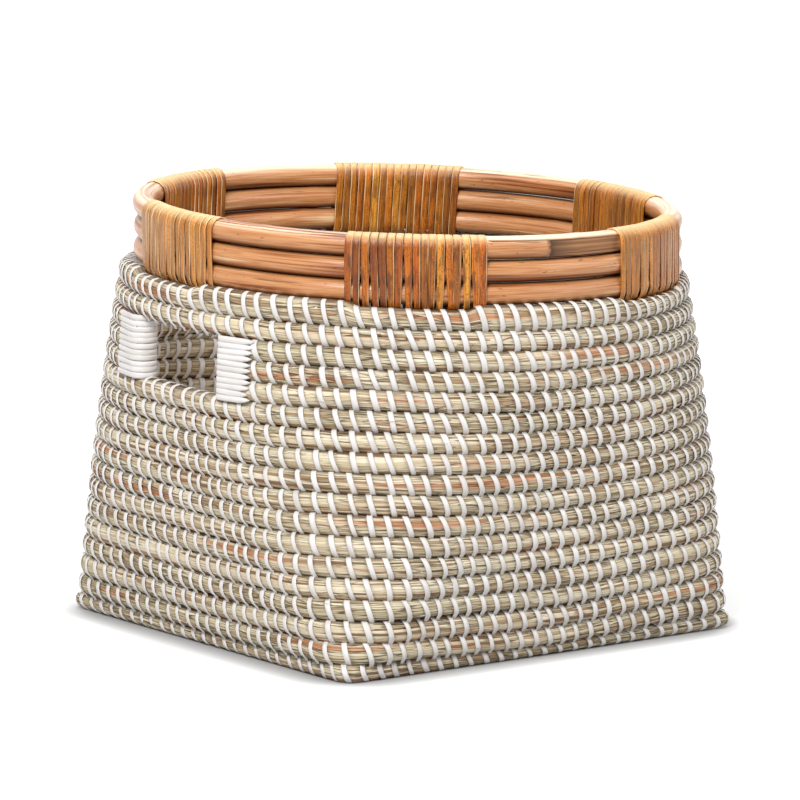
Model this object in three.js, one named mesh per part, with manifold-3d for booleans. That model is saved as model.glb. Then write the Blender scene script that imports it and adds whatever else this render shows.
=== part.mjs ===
// Seagrass planter basket with two hand slots and a cane rim.
// Bundles of seagrass are coiled into a flat base and a wall. The wall is a rounded square at its
// foot and a circle at its rim, where six cane bindings hold three bent cane poles.
// Units are millimetres, +Z is up, and the origin is on the floor below the middle of the top
// course.

import * as THREE from 'three';
import * as BufferGeometryUtils from 'three/addons/utils/BufferGeometryUtils.js';
import Module from 'manifold-3d';

const wasm = await Module();
wasm.setup();

const degree = Math.PI / 180;

// Outer faces of the wall, at the lowest course and at the highest.
const footHalfWidth = 168.6;
const footCornerRadius = 12;
const rimRadius = 200;
const cornerPower = 0.731;
const girthPower = 2.184;

// Seagrass bundle, six-sided with a flat above and below.
const bundleWidth = 14.8;
const bundleHeight = 13.45;
const bundleGap = 0.62;
const baseBundleGap = 0.5;
const bundleFlatShare = 0.5;
const tailWidthShare = 0.5;
const tailLeastHeight = 2;
const footCutShare = 0.1;
const crownSwell = 2.4;

// Courses of the wall, counted from the floor, and turns of the base.
const courseCount = 18;
const wallFirstCourse = 2;
const rowFirstCourse = 14;
const rowCount = 3;
const baseTurnCount = 11;
const stepsPerLoop = 24;
const climbShare = 0.25;
const leastArcShare = 1 / 3;

// Hand slots, each measured along its face of the wall.
const slotWidth = 89;
const slotShift = 4.5;

// White strip bound round the row ends at each slot edge.
const bindingReach = 30;
const bindingThickness = 1.6;
const bindingGroove = 0.7;
const bindingTooth = 4;
const bindingBevel = 2.5;
const bindingStripCount = 10;
const bindingTipShare = 0.45;

// Three bent cane poles, stacked inside the top course.
const poleDiameter = 15.5;
const poleSideCount = 8;
const poleStepCount = 36;
const poleSetIn = 7.9;
const poleNames = ['lower', 'middle', 'upper'];

// Lap joint of each pole. One end is shaved flat on its outer side and passes behind the other.
const lapAngle = 14 * degree;
const lapDepth = 4.1;
const lapKerf = 0.5;
const lapOverrun = 2;
const openLapEnd = 264 * degree;
const openLapAngle = 20 * degree;

// Cane strip wound round the stacked poles at six places.
const wrapCount = 6;
const wrapTurn = -4.6 * degree;
const wrapAngle = 29 * degree;
const wrapLoopCount = 16;
const wrapStripWidth = 4.95;
const wrapStripRise = 1.1;

// How the finished basket has settled: its top leans to one side, its courses lie closer near
// the top, and its flanks have sunk, one side more than the other. The foot stands a little off
// the middle of the top course, and the cane rim is set off further.
const leanAngle = -33 * degree;
const leanDrop = 6.9;
const topDrop = 1.8;
const middleLift = 2.2;
const setOffAngle = -36 * degree;
const footSetOff = 3;
const rimSetOff = 2.5;
const flankSink = 3.4;
const flankSinkAngle = -45 * degree;
const flankSinkShare = 0.5;

// Clearance between pieces that touch.
const seatGap = 0.3;

const coursePitch = bundleHeight + bundleGap;
const basePitch = bundleWidth + baseBundleGap;
const baseFootDrop = bundleWidth * (0.5 - footCutShare);
const poleRadius = poleDiameter / 2;
const polePitch = poleDiameter + seatGap;
const poleRingRadius = rimRadius - bundleWidth / 2 - poleSetIn;
const wrapInnerReach = poleRadius + seatGap;
const wrapReach = wrapInnerReach + wrapStripRise;
const wrapBevel = wrapReach * Math.tan(Math.PI / 8);

// Height of the middle of a course. The lowest course is the outer turn of the base.
function courseHeight(course) {
  return baseFootDrop + (course - 1) * coursePitch;
}

const wallTop = courseHeight(courseCount) + bundleHeight / 2;
const lowestPoleHeight = wallTop + seatGap + wrapReach;

const seagrass = new THREE.MeshStandardMaterial({ color: 0xcbb88d, roughness: 0.85, metalness: 0 });
const seagrassRow = new THREE.MeshStandardMaterial({ color: 0xc6b083, roughness: 0.85, metalness: 0 });
const whiteStrip = new THREE.MeshStandardMaterial({ color: 0xf2f0ea, roughness: 0.45, metalness: 0 });
const canePole = new THREE.MeshStandardMaterial({ color: 0xd09a6c, roughness: 0.4, metalness: 0 });
const caneStrip = new THREE.MeshStandardMaterial({ color: 0xc48f4c, roughness: 0.5, metalness: 0 });

const basket = new THREE.Group();

function addPiece(name, geometry, material) {
  const mesh = new THREE.Mesh(geometry, material);
  mesh.name = name;
  basket.add(mesh);
}

function smoothShare(share) {
  return share * share * (3 - 2 * share);
}

function clampShare(share) {
  return Math.min(1, Math.max(0, share));
}

function levelDirection(angle) {
  return new THREE.Vector3(Math.cos(angle), Math.sin(angle), 0);
}

// Where a point of the regular basket lies on the settled one. The lean grows with height, and
// the sinking is greatest in the middle of each flank and fades towards the rim.
function settled(point, setOff = 0) {
  const rise = clampShare((point.z - coursePitch) / (wallTop - coursePitch));
  const lean = leanDrop * rise * point.dot(levelDirection(leanAngle)) / rimRadius;
  const drop = lean + topDrop * rise - 4 * middleLift * rise * (1 - rise);
  const angle = Math.atan2(point.y, point.x);
  const sideShare = 1 + flankSinkShare * Math.cos(angle - flankSinkAngle);
  const flankShare = sideShare * Math.cos(2 * angle) ** 2;
  const fromEdge = footHalfWidth - Math.max(Math.abs(point.x), Math.abs(point.y));
  const edgeShare = smoothShare(clampShare(2 - fromEdge / basePitch));
  const lowShare = Math.min(1, point.z / coursePitch);
  const sink = flankSink * flankShare * edgeShare * lowShare * (1 - rise ** 3);
  const offset = setOff - footSetOff * (1 - rise);
  const place = point.clone().addScaledVector(levelDirection(setOffAngle), offset);
  place.z -= drop + sink;
  return place;
}

// Girth of a rounded square, and the half width that a girth and a corner radius give.
function girthOf(halfWidth, cornerRadius) {
  return 8 * halfWidth - (8 - 2 * Math.PI) * cornerRadius;
}

function halfWidthOf(girth, cornerRadius) {
  return (girth + (8 - 2 * Math.PI) * cornerRadius) / 8;
}

// Outer face of the wall at a course, or between two courses.
function wallOutline(course) {
  const rise = Math.max(0, (course - 1) / (courseCount - 1));
  const cornerRadius = footCornerRadius + (rimRadius - footCornerRadius) * rise ** cornerPower;
  const footGirth = girthOf(footHalfWidth, footCornerRadius);
  const rimGirth = girthOf(rimRadius, rimRadius);
  const girth = footGirth + (rimGirth - footGirth) * rise ** girthPower;
  return { halfWidth: halfWidthOf(girth, cornerRadius), cornerRadius };
}

function insetOutline(outline, inset) {
  return { halfWidth: outline.halfWidth - inset, cornerRadius: outline.cornerRadius - inset };
}

// Share of a quarter turn that half a corner takes: by its length, but never so little that its
// bend has too few steps.
function arcShare(outline) {
  const arc = outline.cornerRadius * Math.PI / 4;
  const straight = 2 * (outline.halfWidth - outline.cornerRadius);
  return Math.max(leastArcShare, arc / (2 * arc + straight));
}

// A point of a side, by its distance along the side from the middle, with its outward direction.
// Side 0 faces +Y and the sides follow each other counter-clockwise.
function sidePoint(outline, side, along, bend) {
  const flat = outline.halfWidth - outline.cornerRadius;
  const facing = (side + 1) * Math.PI / 2;
  const out = flat + outline.cornerRadius * Math.cos(bend);
  const outward = new THREE.Vector3(Math.cos(facing + bend), Math.sin(facing + bend), 0);
  const point = new THREE.Vector3(
    out * Math.cos(facing) - along * Math.sin(facing),
    out * Math.sin(facing) + along * Math.cos(facing),
    0,
  );
  return { point, outward };
}

// The point at a share of a turn, from the middle of the corner between +X and +Y.
function outlinePoint(outline, turn) {
  const quarters = (turn - Math.floor(turn)) * 4;
  const side = Math.min(3, Math.floor(quarters));
  const share = quarters - side;
  const arc = arcShare(outline);
  const flat = outline.halfWidth - outline.cornerRadius;
  if (share <= arc) {
    const bend = -Math.PI / 4 * (1 - share / arc);
    return sidePoint(outline, side, outline.cornerRadius * Math.sin(bend) - flat, bend);
  }
  if (share >= 1 - arc) {
    const bend = Math.PI / 4 * (share - 1 + arc) / arc;
    return sidePoint(outline, side, outline.cornerRadius * Math.sin(bend) + flat, bend);
  }
  return sidePoint(outline, side, flat * (2 * (share - arc) / (1 - 2 * arc) - 1), 0);
}

// The bend of a side's outline at a distance along the side from its middle.
function bendAt(outline, along) {
  const past = Math.abs(along) - (outline.halfWidth - outline.cornerRadius);
  return past > 0 ? Math.sign(along) * Math.asin(past / outline.cornerRadius) : 0;
}

// The share of a turn at a distance along a side from its middle.
function turnAt(outline, side, along) {
  const bend = bendAt(outline, along);
  const arc = arcShare(outline);
  const flat = outline.halfWidth - outline.cornerRadius;
  if (bend < 0) return (side + arc * (1 + bend / (Math.PI / 4))) / 4;
  if (bend > 0) return (side + 1 - arc + arc * bend / (Math.PI / 4)) / 4;
  return (side + arc + (1 - 2 * arc) * (along + flat) / (2 * flat)) / 4;
}

// Turns every face of a closed surface outwards.
function faceOutwards(geometry) {
  const place = geometry.getAttribute('position');
  const index = geometry.getIndex();
  const corners = [new THREE.Vector3(), new THREE.Vector3(), new THREE.Vector3()];
  let volume = 0;
  for (let i = 0; i < index.count; i += 3) {
    corners.forEach((corner, j) => corner.fromBufferAttribute(place, index.getX(i + j)));
    volume += corners[0].dot(corners[1].clone().cross(corners[2]));
  }
  if (volume < 0) {
    for (let i = 0; i < index.count; i += 3) {
      const kept = index.getX(i);
      index.setX(i, index.getX(i + 1));
      index.setX(i + 1, kept);
    }
  }
  geometry.computeVertexNormals();
  return geometry;
}

// Joins rings of points into one closed surface, with an end face at each end unless it is a loop.
function loft(rings, endFaces, isLoop = false) {
  const sides = rings[0].length;
  const positions = rings.flat().flatMap((point) => [point.x, point.y, point.z]);
  const indices = [];
  const spans = isLoop ? rings.length : rings.length - 1;
  for (let i = 0; i < spans; i += 1) {
    const here = i * sides;
    const there = ((i + 1) % rings.length) * sides;
    for (let j = 0; j < sides; j += 1) {
      const k = (j + 1) % sides;
      indices.push(here + j, there + k, here + k);
      indices.push(here + j, there + j, there + k);
    }
  }
  if (!isLoop) {
    const last = (rings.length - 1) * sides;
    endFaces(rings[0]).forEach(([a, b, c]) => indices.push(a, b, c));
    endFaces(rings[rings.length - 1]).forEach(([a, b, c]) => indices.push(last + a, last + c, last + b));
  }
  const geometry = new THREE.BufferGeometry();
  geometry.setAttribute('position', new THREE.Float32BufferAttribute(positions, 3));
  geometry.setIndex(indices);
  return faceOutwards(geometry);
}

function fanFaces(ring) {
  return ring.slice(2).map((point, i) => [0, i + 1, i + 2]);
}

// End faces of a channel whose ring runs along its outside and back along its inside: an outer
// leaf, the bevelled edge and an inner leaf.
function channelFaces() {
  return [
    [0, 1, 12], [0, 12, 13], [1, 2, 11], [1, 11, 12], [2, 3, 11], [3, 4, 10],
    [3, 10, 11], [4, 5, 10], [5, 6, 9], [5, 9, 10], [6, 7, 8], [6, 8, 9],
  ];
}

// Six-sided section of a bundle, as shares across its width and places up its height.
function bundleSection(low, high) {
  const inner = (1 - bundleFlatShare) / 2;
  const middle = (low + high) / 2;
  return [[0, middle], [inner, high], [1 - inner, high], [1, middle], [1 - inner, low], [inner, low]];
}

// One ring of a bundle between the outer and the inner edge of its path.
function bundleRing(outer, inner, section) {
  return section.map(([across, up]) => {
    const point = outer.clone().lerp(inner, across);
    point.z = up;
    return point;
  });
}

// How far up, or out, a coil has laid its bundle at a turn. It steps up one pitch along the back.
// The first and last steps stop level, so that the bundle begins and ends in a tail.
function laidSpan(turn, turns, pitch, thickness) {
  const whole = Math.floor(turn);
  const step = smoothShare(Math.min(1, (turn - whole) / climbShare));
  const level = (whole - 1 + step) * pitch;
  const top = (turns - 1) * pitch + thickness;
  return { low: Math.max(0, level), high: Math.min(level + thickness, top) };
}

// Turns at which a coil has a ring, from the first that is thick enough to the last.
function coilTurns(turns, pitch, thickness) {
  const count = Math.ceil((turns + climbShare) * stepsPerLoop);
  const all = Array.from({ length: count + 1 }, (unused, i) => i / stepsPerLoop);
  return all.filter((turn) => {
    const span = laidSpan(turn, turns, pitch, thickness);
    return span.high - span.low >= tailLeastHeight;
  });
}

// How much thicker the top course is, as a share of its swell. It grows from where the last step
// ends, and fades along the last tail.
function swellShare(turn, turns, fullness) {
  const grown = clampShare((turn - (turns - 1) - climbShare) / climbShare);
  return smoothShare(grown) * smoothShare(fullness);
}

// The top course nests round the cane rim: its inner side is pressed back to a slope that clears
// the wraps, also between its steps. The slope passes a radius at this height.
function pressedHeight(radius, outward) {
  const shift = rimSetOff * outward.dot(levelDirection(setOffAngle));
  const wrapFoot = lowestPoleHeight - wrapReach;
  const inwards = radius * Math.cos(Math.PI / stepsPerLoop) - poleRingRadius - wrapBevel;
  return wrapFoot + inwards - shift - seatGap * Math.SQRT2;
}

function pressedSection(section, outerRadius, width, outward) {
  const radiusAt = (share) => outerRadius - share * width;
  return section.map(([across, up]) => {
    const over = up - pressedHeight(radiusAt(across), outward);
    if (over <= 0) return [across, up];
    return across === 1 ? [across, up - over] : [across - over / width, up];
  });
}

// Wall coil of whole courses, from one course up. The last course of the wall has its swell.
function wallRings(firstCourse, turns) {
  const bottom = courseHeight(firstCourse) - bundleHeight / 2;
  const isTop = firstCourse + turns > courseCount;
  return coilTurns(turns, coursePitch, bundleHeight).map((turn) => {
    const span = laidSpan(turn, turns, coursePitch, bundleHeight);
    const low = bottom + span.low;
    const high = bottom + span.high;
    const fullness = (span.high - span.low) / bundleHeight;
    const width = bundleWidth * (tailWidthShare + (1 - tailWidthShare) * fullness);
    const outline = wallOutline(1 + ((low + high) / 2 - courseHeight(1)) / coursePitch);
    const middle = insetOutline(outline, bundleWidth / 2);
    const { point, outward } = outlinePoint(middle, turn);
    const outer = point.clone().addScaledVector(outward, width / 2);
    const inner = point.clone().addScaledVector(outward, -width / 2);
    if (!isTop) return bundleRing(outer, inner, bundleSection(low, high));
    const crown = high + crownSwell * swellShare(turn, turns, fullness);
    const section = bundleSection(low, crown);
    return bundleRing(outer, inner, pressedSection(section, outer.length(), width, outward));
  });
}

// Flat spiral of the base. Each turn's outer edge keeps the foot's corner, and its inner edge
// keeps the same gap to the turn inside it, so the bundle swells into the corners.
function baseEdge(halfWidth, cornerRadius, turn) {
  const radius = Math.min(cornerRadius, halfWidth);
  return outlinePoint({ halfWidth, cornerRadius: radius }, turn).point;
}

function baseRings() {
  const core = footHalfWidth - (baseTurnCount - 1) * basePitch - bundleWidth;
  const top = baseFootDrop + bundleHeight / 2;
  const inner = (1 - bundleFlatShare) / 2;
  const cutShare = baseFootDrop / (bundleHeight / 2);
  return coilTurns(baseTurnCount, basePitch, bundleWidth).map((turn) => {
    const span = laidSpan(turn, baseTurnCount, basePitch, bundleWidth);
    const outer = baseEdge(core + span.high, footCornerRadius, turn);
    const innerEdge = baseEdge(core + span.low, footCornerRadius + baseBundleGap, turn);
    const foot = inner * cutShare;
    return bundleRing(outer, innerEdge, [
      [0, baseFootDrop], [inner, top], [1 - inner, top],
      [1, baseFootDrop], [1 - foot, 0], [foot, 0],
    ]);
  });
}

// Rows between the hand slots. A slot edge lies at a distance along its side from the middle.
const slotStart = slotShift - slotWidth / 2;
const slotEnd = slotShift + slotWidth / 2;
const rowSetBack = bindingThickness + seatGap;

// Turns of a row's rings: the stops inside the bindings at both ends, so that row and binding
// bend alike, and the wall's own steps between them.
function rowTurns(outline, fromSide) {
  const stops = [rowSetBack, bindingReach / 2, bindingReach];
  const first = stops.map((stop) => turnAt(outline, fromSide, slotEnd + stop));
  const last = stops.map((stop) => turnAt(outline, fromSide + 2, slotStart - stop)).reverse();
  const least = 0.25 / stepsPerLoop;
  const steps = Array.from({ length: 2 * stepsPerLoop }, (unused, i) => i / stepsPerLoop);
  const between = steps.filter((turn) => turn > first[2] + least && turn < last[0] - least);
  return [...first, ...between, ...last];
}

function rowRings(course, fromSide) {
  const outline = insetOutline(wallOutline(course), bundleWidth / 2);
  const turns = rowTurns(outline, fromSide);
  const low = courseHeight(course) - bundleHeight / 2;
  return turns.map((turn) => {
    const { point, outward } = outlinePoint(outline, turn);
    const outer = point.clone().addScaledVector(outward, bundleWidth / 2);
    const inner = point.clone().addScaledVector(outward, -bundleWidth / 2);
    return bundleRing(outer, inner, bundleSection(low, low + bundleHeight));
  });
}

// Channel of white strip round the row ends at one slot edge. Each turn of the strip is a rib
// with a pointed end, and the channel follows the slope of the wall.
function bindingRings(side, edge, away) {
  const bottom = courseHeight(rowFirstCourse - 1) + bundleHeight / 2 + seatGap;
  const top = courseHeight(rowFirstCourse + rowCount) - bundleHeight / 2 - seatGap;
  const channel = bundleWidth / 2 + seatGap;
  return Array.from({ length: 2 * bindingStripCount + 1 }, (unused, i) => {
    const isRib = i % 2 === 1;
    const height = bottom + (top - bottom) * i / (2 * bindingStripCount);
    const course = 1 + (height - courseHeight(1)) / coursePitch;
    const outline = insetOutline(wallOutline(course), bundleWidth / 2);
    const face = channel + bindingThickness - (isRib ? 0 : bindingGroove);
    const tip = channel + (bindingThickness - bindingGroove) * bindingTipShare;
    const reach = bindingReach - (isRib ? 0 : bindingTooth);
    const halfway = reach / 2;
    const inside = bindingThickness;
    const plan = [
      [reach, tip], [halfway, face], [bindingBevel, face], [0, face - bindingBevel],
      [0, bindingBevel - face], [bindingBevel, -face], [halfway, -face], [reach, -tip],
      [reach, -channel], [halfway, -channel], [inside, -channel],
      [inside, channel], [halfway, channel], [reach, channel],
    ];
    return plan.map(([back, out]) => {
      const along = edge + away * back;
      const bend = bendAt(outline, along);
      const { point, outward } = sidePoint(outline, side, along, bend);
      point.addScaledVector(outward, out);
      point.z = height;
      return point;
    });
  });
}

// A point of the rim by its distance from the axis, on the flats of the poles' steps.
function rimPoint(radius, angle, height) {
  const step = 2 * Math.PI / poleStepCount;
  const offMiddle = angle - (Math.floor(angle / step) + 0.5) * step;
  const onFlat = radius * Math.cos(step / 2) / Math.cos(offMiddle);
  return new THREE.Vector3(onFlat * Math.cos(angle), onFlat * Math.sin(angle), height);
}

function asManifold(geometry) {
  const plain = geometry.clone();
  plain.deleteAttribute('normal');
  plain.deleteAttribute('uv');
  const merged = BufferGeometryUtils.mergeVertices(plain);
  return new wasm.Manifold(new wasm.Mesh({
    numProp: 3,
    vertProperties: new Float32Array(merged.getAttribute('position').array),
    triVerts: new Uint32Array(merged.getIndex().array),
  }));
}

function asGeometry(manifold) {
  const mesh = manifold.getMesh();
  const geometry = new THREE.BufferGeometry();
  geometry.setAttribute('position', new THREE.BufferAttribute(new Float32Array(mesh.vertProperties), 3));
  geometry.setIndex(new THREE.BufferAttribute(new Uint32Array(mesh.triVerts), 1));
  return geometry;
}

// The rim keeps its round flat shape as it settles.
function settledRim(geometry) {
  const place = geometry.getAttribute('position');
  for (let i = 0; i < place.count; i += 1) {
    const point = settled(new THREE.Vector3().fromBufferAttribute(place, i), rimSetOff);
    place.setXYZ(i, point.x, point.y, point.z);
  }
  geometry.computeVertexNormals();
  return geometry;
}

// A stretch of cutter round the rim, square in section.
function rimCutter(innerRadius, outerRadius, from, to, height) {
  const step = 2 * Math.PI / poleStepCount;
  const all = Array.from({ length: 2 * poleStepCount }, (unused, i) => (i - poleStepCount / 2) * step);
  const angles = [from, ...all.filter((angle) => angle > from && angle < to), to];
  const reach = poleRadius + lapOverrun;
  const corners = [
    [innerRadius, -reach], [outerRadius, -reach], [outerRadius, reach], [innerRadius, reach],
  ];
  const rings = angles.map((angle) => corners.map(
    ([radius, up]) => rimPoint(radius, angle, height + up),
  ));
  return asManifold(loft(rings, fanFaces));
}

// A bent pole, open at its lap joint. lapEnd is where its outer end stops, and openAngle is how
// far the shaved face shows beyond that end.
function rimPole(height, lapEnd, openAngle) {
  const step = 2 * Math.PI / poleStepCount;
  const cornerReach = poleRadius / Math.cos(Math.PI / poleSideCount);
  const rings = Array.from({ length: poleStepCount }, (unusedStep, i) => (
    Array.from({ length: poleSideCount }, (unusedSide, j) => {
      const round = (j + 0.5) * 2 * Math.PI / poleSideCount;
      const out = cornerReach * Math.cos(round);
      return rimPoint(poleRingRadius + out, i * step, height + cornerReach * Math.sin(round));
    })
  ));
  const faceRadius = poleRingRadius + poleRadius - lapDepth;
  const outermost = poleRingRadius + poleRadius + lapOverrun;
  const innermost = poleRingRadius - poleRadius - lapOverrun;
  const lapStart = lapEnd - lapAngle;
  const kerfAngle = lapKerf / poleRingRadius;
  const matingKerf = rimCutter(faceRadius - lapKerf, faceRadius, lapStart - kerfAngle, lapEnd, height);
  const backKerf = rimCutter(innermost, faceRadius, lapStart - kerfAngle, lapStart, height);
  const shaved = rimCutter(faceRadius - lapKerf, outermost, lapEnd, lapEnd + openAngle, height);
  const cutter = matingKerf.add(backKerf).add(shaved);
  return settledRim(asGeometry(asManifold(loft(rings, fanFaces, true)).subtract(cutter)));
}

// Outline of one loop of strip round the stacked poles, at a distance from their surface. It is
// bevelled as the poles are round, but for the hidden corner under the lowest one.
function wrapOutline(reach) {
  const bevel = reach * Math.tan(Math.PI / 8);
  const low = -reach;
  const high = (poleNames.length - 1) * polePitch;
  return [
    [-reach, low], [bevel, low], [reach, -bevel],
    [reach, high + bevel], [bevel, high + reach], [-bevel, high + reach], [-reach, high + bevel],
  ];
}

// One unbroken strip, wound round and along the poles.
function wrapRings(middleAngle) {
  const inside = wrapOutline(wrapInnerReach);
  const outside = wrapOutline(wrapReach);
  const perLoop = inside.length;
  const count = wrapLoopCount * perLoop - 2;
  const halfStrip = wrapStripWidth / 2 / poleRingRadius;
  const sweep = wrapAngle - 2 * halfStrip;
  return Array.from({ length: count + 1 }, (unused, i) => {
    const k = (i + 1) % perLoop;
    const angle = middleAngle + sweep * (i / count - 0.5);
    const [inOut, inUp] = inside[k];
    const [outOut, outUp] = outside[k];
    return [
      rimPoint(poleRingRadius + inOut, angle - halfStrip, lowestPoleHeight + inUp),
      rimPoint(poleRingRadius + outOut, angle, lowestPoleHeight + outUp),
      rimPoint(poleRingRadius + inOut, angle + halfStrip, lowestPoleHeight + inUp),
    ];
  });
}

// Least distance between the points of a wound piece one loop apart, along its ring edges.
function leastSelfGap(rings, perLoop) {
  const pointsPerEdge = 8;
  const nearRings = 2;
  const cloud = rings.map((ring) => ring.flatMap((point, i) => {
    const next = ring[(i + 1) % ring.length];
    return Array.from({ length: pointsPerEdge }, (unused, j) => point.clone().lerp(next, j / pointsPerEdge));
  }));
  let least = Infinity;
  cloud.forEach((here, i) => {
    for (let j = i + perLoop - nearRings; j <= i + perLoop + nearRings; j += 1) {
      if (!cloud[j]) continue;
      here.forEach((a) => cloud[j].forEach((b) => {
        least = Math.min(least, a.distanceToSquared(b));
      }));
    }
  });
  return Math.sqrt(least);
}

function addWound(name, regularRings, perLoop, material, setOff = 0) {
  const rings = regularRings.map((ring) => ring.map((point) => settled(point, setOff)));
  addPiece(name, loft(rings, fanFaces), material);
  console.log(`${name}: least gap to itself ${leastSelfGap(rings, perLoop).toFixed(2)} mm`);
}

// A piece that isn't wound, from its rings and the faces that close its ends.
function addLofted(name, regularRings, endFaces, material) {
  const rings = regularRings.map((ring) => ring.map((point) => settled(point)));
  addPiece(name, loft(rings, endFaces), material);
}

function addBase() {
  addWound('base_coil', baseRings(), stepsPerLoop, seagrass);
}

function addWall() {
  const rowLastCourse = rowFirstCourse + rowCount - 1;
  const lower = wallRings(wallFirstCourse, rowFirstCourse - wallFirstCourse);
  const upper = wallRings(rowLastCourse + 1, courseCount - rowLastCourse);
  addWound('lower_wall_coil', lower, stepsPerLoop, seagrass);
  addWound('upper_wall_coil', upper, stepsPerLoop, seagrass);
}

function addHandleRows() {
  const heights = ['lower', 'middle', 'upper'];
  heights.forEach((height, i) => {
    const course = rowFirstCourse + i;
    addLofted(`handle_row_front_${height}`, rowRings(course, 1), fanFaces, seagrassRow);
    addLofted(`handle_row_back_${height}`, rowRings(course, 3), fanFaces, seagrassRow);
  });
}

function addBindings() {
  const places = [
    ['handle_binding_left_front', 1, slotEnd, 1],
    ['handle_binding_left_back', 1, slotStart, -1],
    ['handle_binding_right_front', 3, slotStart, -1],
    ['handle_binding_right_back', 3, slotEnd, 1],
  ];
  places.forEach(([name, side, edge, away]) => {
    addLofted(name, bindingRings(side, edge, away), channelFaces, whiteStrip);
  });
}

// The two lower poles have their laps under bindings, and the top pole's lap shows.
function addRimPoles() {
  const hiddenLapEnd = (place) => wrapTurn + place * 2 * Math.PI / wrapCount + lapAngle / 2;
  const laps = [[hiddenLapEnd(3), 0], [hiddenLapEnd(1), 0], [openLapEnd, openLapAngle]];
  poleNames.forEach((name, i) => {
    const [lapEnd, openAngle] = laps[i];
    const height = lowestPoleHeight + i * polePitch;
    addPiece(`rim_pole_${name}`, rimPole(height, lapEnd, openAngle), canePole);
  });
}

function addRimWraps() {
  const names = ['right', 'back_right', 'back_left', 'left', 'front_left', 'front_right'];
  const perLoop = wrapOutline(wrapInnerReach).length;
  names.forEach((name, i) => {
    const rings = wrapRings(wrapTurn + i * 2 * Math.PI / wrapCount);
    addWound(`rim_wrap_${name}`, rings, perLoop, caneStrip, rimSetOff);
  });
}

addBase();
addWall();
addHandleRows();
addBindings();
addRimPoles();
addRimWraps();

export default basket;
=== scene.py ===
import math

import bpy
import numpy as np
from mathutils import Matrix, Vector


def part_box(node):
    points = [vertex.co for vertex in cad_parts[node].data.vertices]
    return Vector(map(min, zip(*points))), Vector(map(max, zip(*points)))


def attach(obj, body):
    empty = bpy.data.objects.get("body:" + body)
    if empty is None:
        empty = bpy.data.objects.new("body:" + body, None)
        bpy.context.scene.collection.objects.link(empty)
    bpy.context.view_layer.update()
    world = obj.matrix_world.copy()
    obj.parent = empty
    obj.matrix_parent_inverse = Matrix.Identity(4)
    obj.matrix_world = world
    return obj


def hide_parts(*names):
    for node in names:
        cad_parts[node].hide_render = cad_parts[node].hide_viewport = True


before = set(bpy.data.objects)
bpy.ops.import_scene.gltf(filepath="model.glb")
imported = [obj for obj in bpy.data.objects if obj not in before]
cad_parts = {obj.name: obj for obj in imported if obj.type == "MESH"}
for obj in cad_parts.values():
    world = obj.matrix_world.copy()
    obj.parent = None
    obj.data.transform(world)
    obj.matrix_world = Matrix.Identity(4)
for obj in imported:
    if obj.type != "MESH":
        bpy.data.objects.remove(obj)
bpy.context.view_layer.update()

# Metres, +Z up, in the frame of the construction model.
MM = 0.001
RNG = np.random.default_rng(62)

# Sizes read from the frame.
BASE_LOW, BASE_HIGH = map(np.array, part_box("base_coil"))
FOOT_MIDDLE = (BASE_LOW + BASE_HIGH) / 2
FOOT_HALF_WIDTH = BASE_HIGH[0] - FOOT_MIDDLE[0]
BASE_TOP = BASE_HIGH[2]
CROWN_LOW, CROWN_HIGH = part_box("upper_wall_coil")
RIM_RADIUS = (CROWN_HIGH[0] - CROWN_LOW[0]) / 2

# Courses and the outline of the wall.
COURSES = 18
COURSE_PITCH = 14.07 * MM
WALL_TOP = BASE_TOP + (COURSES - 1) * COURSE_PITCH
FOOT_CORNER_RADIUS = 12 * MM
CORNER_POWER = 0.731
GIRTH_POWER = 2.184
BASE_TURNS = 11
BASE_STEPS = 240
CLIMB_SHARE = 0.25
WALL_FIRST = 2
ROW_FIRST = 14
ROWS = 3
LOWER_TURNS = ROW_FIRST - WALL_FIRST
UPPER_FIRST = ROW_FIRST + ROWS
UPPER_TURNS = COURSES + 1 - UPPER_FIRST

# How the finished basket has settled: its top leans to one side, its courses lie closer near
# the top, and its flanks have sunk, one side more than the other. The foot stands a little off
# the middle of the top course, and the cane rim is set off further.
LEAN_ANGLE = math.radians(-33)
LEAN_DROP = 6.9 * MM
TOP_DROP = 1.8 * MM
MIDDLE_LIFT = 2.2 * MM
SET_OFF_ANGLE = math.radians(-36)
FOOT_SET_OFF = 3 * MM
RIM_SET_OFF = 2.5 * MM
SINK = 3.4 * MM
SINK_ANGLE = math.radians(-45)
SINK_SHARE = 0.5

# Seagrass bundle.
BUNDLE_WIDTH = 14.8 * MM
BUNDLE_HEIGHT = 14.4 * MM
BASE_PITCH = 15.3 * MM
BASE_HEIGHT = 12.4 * MM
FLOOR_CLEARANCE = 0.5 * MM
TAIL_LEAST = 0.8 * MM
TAIL_WIDTH_SHARE = 0.5
STRANDS = 24
ROUNDNESS = 2.3
PINCH = 0.45 * MM

# The top course is thicker than the others between the wraps of the rim, from a share of a turn
# past its last step on. Bundle and stitches are pressed clear of the rim.
CROWN_SWELL = 3.4 * MM
CROWN_GROWTH = 0.06
BUNDLE_PRESS = 0.45 * MM
STITCH_PRESS = 0.15 * MM

# Stitches of white strip.
STITCHES_PER_TURN = 104
WALL_STEPS = 5 * STITCHES_PER_TURN
STITCH_PITCH = 12.2 * MM
STITCH_WIDTH = 4.2 * MM
STITCH_THICKNESS = 0.7 * MM
STITCH_LEAN = 4.6 * MM
STITCH_BITE = 1.5 * MM

# Hand slots, along their faces.
SLOT_START = -40 * MM
SLOT_END = 49 * MM
ROW_SET_BACK = 2 * MM
BINDING_REACH = 30 * MM
BINDING_STRIPS = 11
BINDING_THICKNESS = 1.5 * MM

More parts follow.
